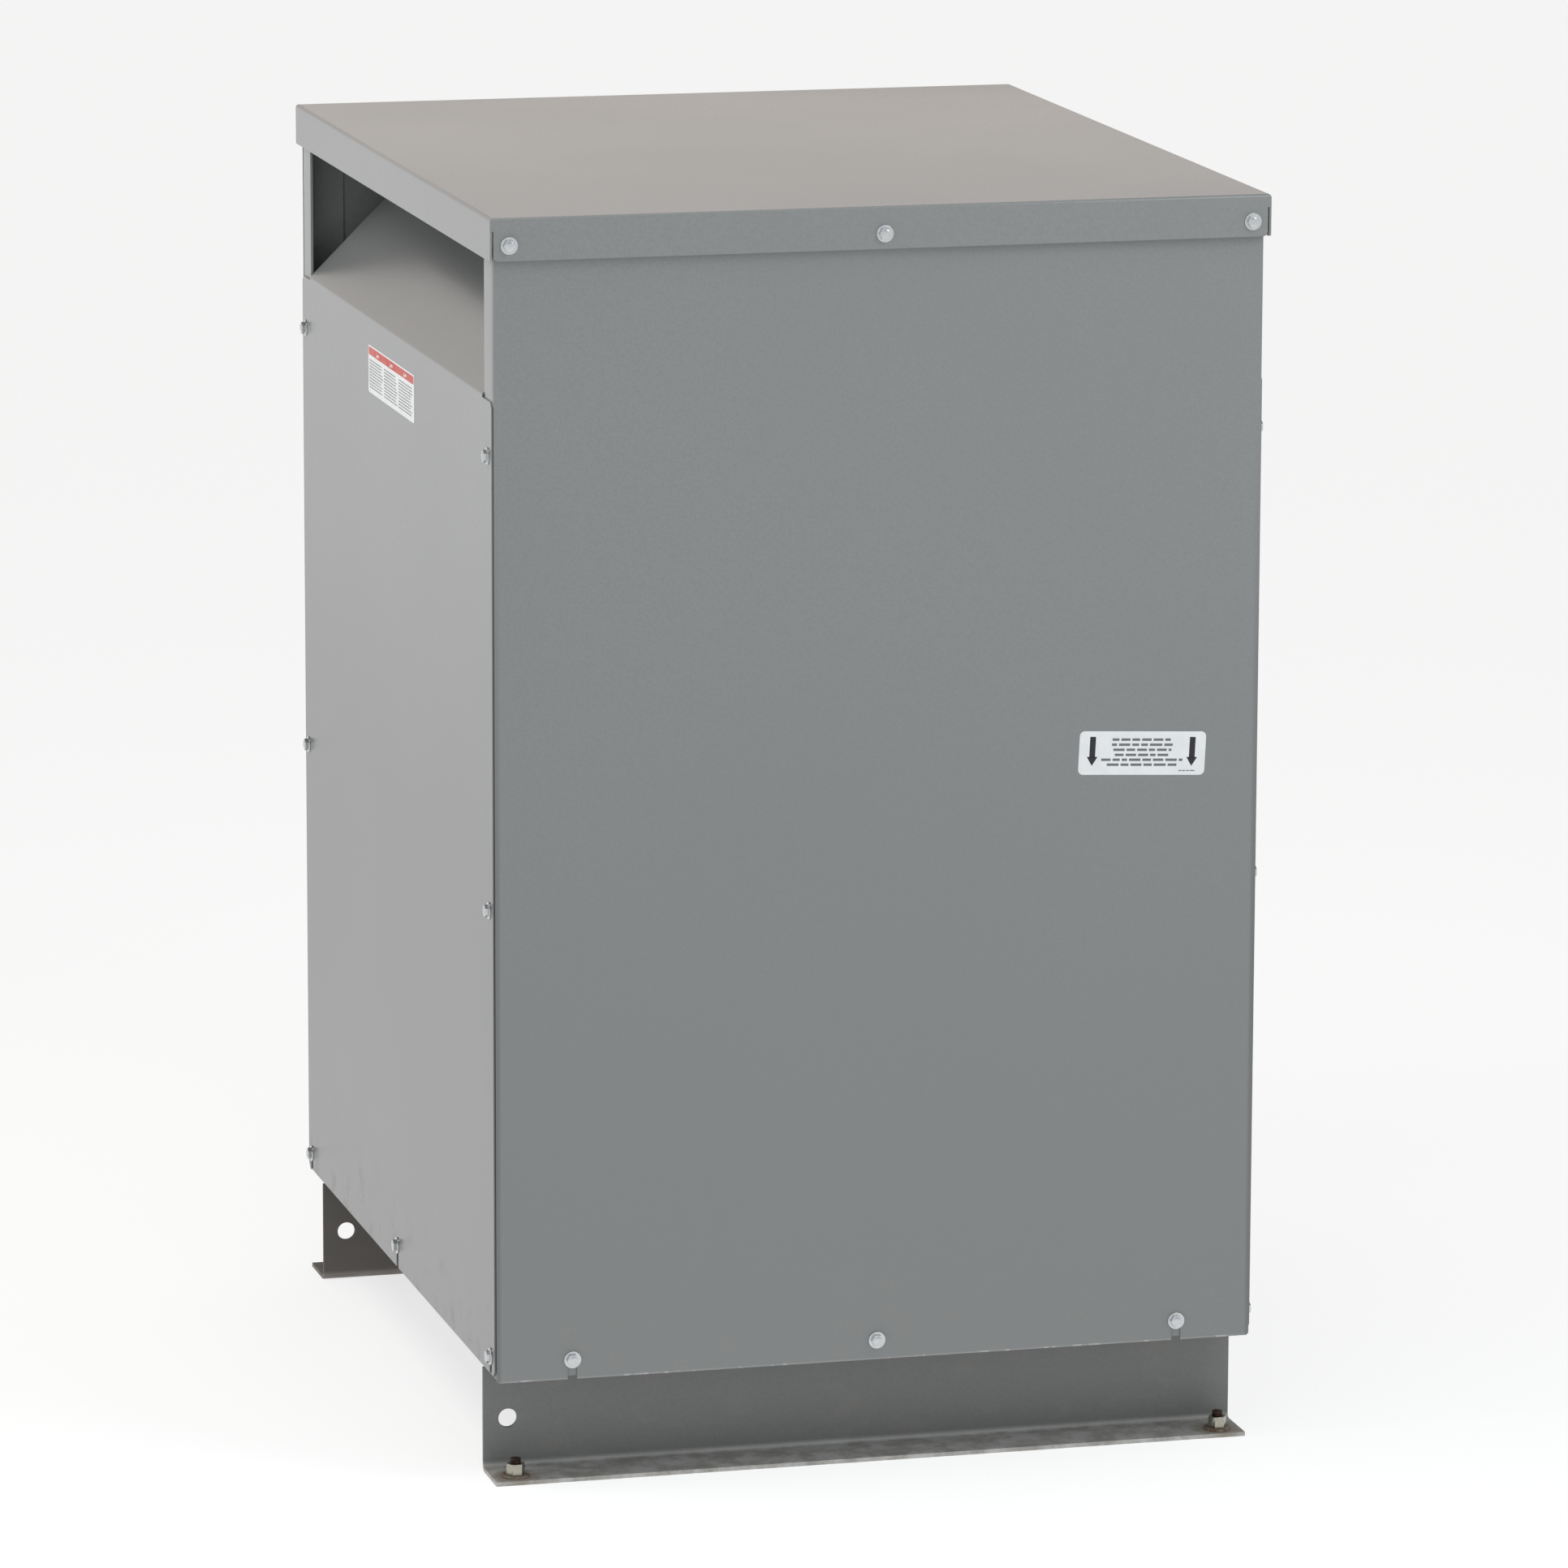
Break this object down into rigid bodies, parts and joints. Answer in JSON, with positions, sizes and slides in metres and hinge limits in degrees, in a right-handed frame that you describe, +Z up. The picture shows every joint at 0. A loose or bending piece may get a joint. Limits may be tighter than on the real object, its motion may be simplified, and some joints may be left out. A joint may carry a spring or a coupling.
{
  "type": "ventilated dry-type distribution transformer",
  "caption": "Floor-standing dry-type transformer: painted sheet-steel cabinet with side vents and lift-off covers on two foot rails, core and windings inside.",
  "frame": {"origin": "on the floor, under the middle of the enclosure", "axes": "+X to the right along the front cover, +Y from the front cover to the rear cover, +Z up"},
  "size_m": [0.9194, 1.0894, 1.47],
  "materials": {
    "enclosure_paint": "fine-textured grey powder coat, low sheen",
    "foot_paint": "darker grey powder coat with rubbed edges",
    "zinc_screws": "bright zinc plate",
    "galvanised_mesh": "galvanised, dull",
    "label_film": "printed vinyl label, satin",
    "anchor_stud_steel": "oiled dark steel",
    "yellow_zinc": "yellowish zinc plate, slightly dull",
    "rusty_washer": "rust-tinged steel",
    "core_steel": "laminated electrical steel, varnished edges",
    "clamp_paint": "semi-gloss grey paint",
    "pad_rubber": "black rubber",
    "winding_varnish": "resin-impregnated winding, amber varnish",
    "spacer_laminate": "pressed laminate",
    "board_laminate": "red-brown glass-polyester laminate",
    "bus_metal": "bare aluminium bar, mill finish",
    "stud_brass": "brass"
  },
  "bodies": {
    "main_frame": {"front_foot_rail": "foot_paint", "rear_foot_rail": "foot_paint", "front_base_rail": "enclosure_paint", "rear_base_rail": "enclosure_paint", "left_base_rail": "enclosure_paint", "right_base_rail": "enclosure_paint", "front_left_post": "enclosure_paint", "front_right_post": "enclosure_paint", "rear_left_post": "enclosure_paint", "rear_right_post": "enclosure_paint", "front_top_rail": "enclosure_paint", "rear_top_rail": "enclosure_paint", "left_top_rail": "enclosure_paint", "right_top_rail": "enclosure_paint", "frame_bolts": "zinc_screws", "bottom_screen": "galvanised_mesh", "anchor_studs": "anchor_stud_steel", "anchor_nuts": "yellow_zinc", "anchor_washers": "rusty_washer", "lower_yoke": "core_steel", "upper_yoke": "core_steel", "core_legs": "core_steel", "left_lower_clamp": "clamp_paint", "right_lower_clamp": "clamp_paint", "left_upper_clamp": "clamp_paint", "right_upper_clamp": "clamp_paint", "clamp_bolts": "zinc_screws", "tie_rods": "zinc_screws", "isolation_pads": "pad_rubber", "hold_down_bolts": "zinc_screws", "lv_winding_a": "winding_varnish", "lv_winding_b": "winding_varnish", "lv_winding_c": "winding_varnish", "hv_winding_a": "winding_varnish", "hv_winding_b": "winding_varnish", "hv_winding_c": "winding_varnish", "duct_sticks": "spacer_laminate", "coil_blocks": "spacer_laminate", "lv_bus_bars": "bus_metal", "neutral_bus": "bus_metal", "lv_terminal_board": "board_laminate", "hv_bus_bars": "bus_metal", "hv_terminal_board": "board_laminate", "board_brackets": "clamp_paint", "tap_boards": "board_laminate", "tap_studs": "stud_brass", "tap_links": "bus_metal", "ground_strap": "bus_metal"},
    "lid_assembly": {"lid": "enclosure_paint", "lid_screws": "zinc_screws"},
    "front_panel": {"front_cover": "enclosure_paint", "front_cover_screws": "zinc_screws", "front_label": "label_film"},
    "rear_panel": {"rear_cover": "enclosure_paint", "rear_cover_screws": "zinc_screws"},
    "left_panel": {"left_cover": "enclosure_paint", "left_cover_screws": "zinc_screws", "side_label": "label_film"},
    "right_panel": {"right_cover": "enclosure_paint", "right_cover_screws": "zinc_screws"}
  },
  "joints": [
    {"name": "lid_lift", "type": "slide", "parent": "main_frame", "child": "lid_assembly", "axis": [0, 0, 1], "range_m": [0, 0.3]},
    {"name": "front_cover_tilt", "type": "hinge", "parent": "main_frame", "child": "front_panel", "pos_m": [0, -0.527, 1.429], "axis": [-1, 0, 0], "range_deg": [0, 30]},
    {"name": "rear_cover_tilt", "type": "hinge", "parent": "main_frame", "child": "rear_panel", "pos_m": [0, 0.527, 1.429], "axis": [1, 0, 0], "range_deg": [0, 30]},
    {"name": "left_cover_pull", "type": "slide", "parent": "main_frame", "child": "left_panel", "axis": [-1, 0, 0], "range_m": [0, 0.3]},
    {"name": "right_cover_pull", "type": "slide", "parent": "main_frame", "child": "right_panel", "axis": [1, 0, 0], "range_m": [0, 0.3]}
  ]
}
